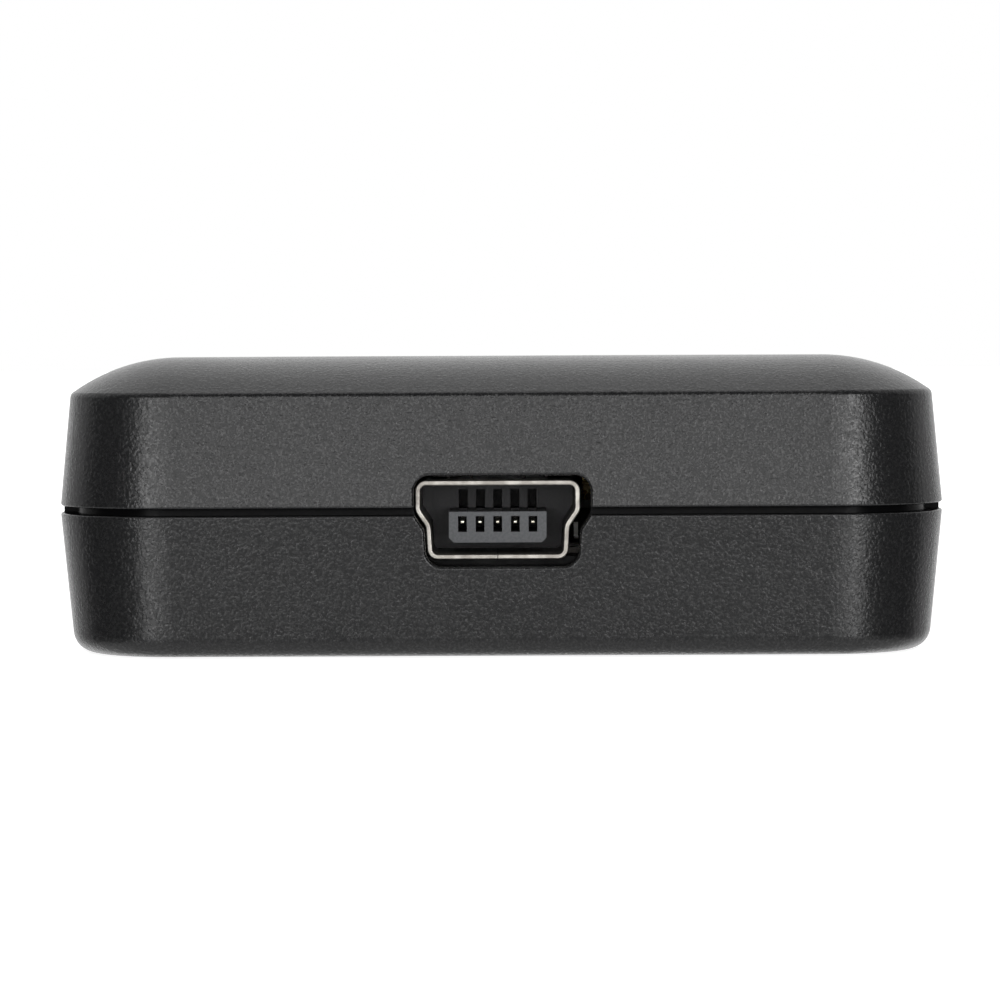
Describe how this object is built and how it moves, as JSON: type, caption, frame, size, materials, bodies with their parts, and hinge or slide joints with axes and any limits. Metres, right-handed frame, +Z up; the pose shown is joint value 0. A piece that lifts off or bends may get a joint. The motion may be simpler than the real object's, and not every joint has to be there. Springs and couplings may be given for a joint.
{
  "type": "logic analyzer",
  "caption": "Pocket USB logic analyzer: black two-part plastic box with a Mini-B socket in one end and a pin header for probe leads in the other.",
  "frame": {"origin": "centre of the bounding box at the underside, where it rests on the bench", "axes": "+Z up, +Y from the USB end to the probe end (the long way), +X across"},
  "size_m": [0.0408, 0.06, 0.0136],
  "materials": {
    "housing": "fine spark-eroded texture",
    "label": "satin printed overlay",
    "clear_acrylic": "clear moulded",
    "screw_steel": "black-zinc dull",
    "solder_mask": "black solder mask on glass-epoxy board",
    "nickel": "bright nickel plate",
    "socket_resin": "grey moulded resin",
    "contact_plate": "gold flash",
    "header_resin": "black moulded",
    "pin_gold": "gold flash",
    "chip_resin": "moulded epoxy",
    "lead_tin": "matte tin",
    "can_steel": "drawn steel can",
    "capacitor_ceramic": "tan ceramic",
    "resistor_glaze": "black glaze",
    "tantalum_resin": "yellow moulded",
    "fuse_green": "green coat",
    "ferrite": "dark ferrite",
    "led_lens": "milky lens"
  },
  "bodies": {
    "root": {"bottom_cover": "housing", "top_cover": "housing", "housing_screws": "screw_steel", "top_label": "label", "light_pipe": "clear_acrylic", "circuit_board": "solder_mask", "usb_shell": "nickel", "usb_insulator": "socket_resin", "header_insulator": "header_resin", "controller_package": "chip_resin", "controller_leads": "lead_tin", "buffer_package": "chip_resin", "buffer_leads": "lead_tin", "memory_package": "chip_resin", "memory_leads": "lead_tin", "esd_array": "chip_resin", "esd_array_leads": "lead_tin", "regulator_package": "chip_resin", "regulator_leads": "lead_tin", "crystal_base": "header_resin", "crystal_can": "can_steel", "crystal_leads": "lead_tin", "resistor_arrays": "resistor_glaze", "resistor_array_caps": "lead_tin", "tantalum_capacitors": "tantalum_resin", "tantalum_capacitor_leads": "lead_tin", "chip_capacitors": "capacitor_ceramic", "chip_capacitor_caps": "lead_tin", "chip_resistors": "resistor_glaze", "chip_resistor_caps": "lead_tin", "resettable_fuse": "fuse_green", "resettable_fuse_caps": "lead_tin", "ferrite_bead": "ferrite", "ferrite_bead_caps": "lead_tin", "status_led": "led_lens", "status_led_caps": "lead_tin", "usb_contact_1": "contact_plate", "usb_contact_2": "contact_plate", "usb_contact_3": "contact_plate", "usb_contact_4": "contact_plate", "usb_contact_5": "contact_plate", "header_pin_01": "pin_gold", "header_pin_02": "pin_gold", "header_pin_03": "pin_gold", "header_pin_04": "pin_gold", "header_pin_05": "pin_gold", "header_pin_06": "pin_gold", "header_pin_07": "pin_gold", "header_pin_08": "pin_gold", "header_pin_09": "pin_gold", "header_pin_10": "pin_gold"}
  },
  "joints": []
}
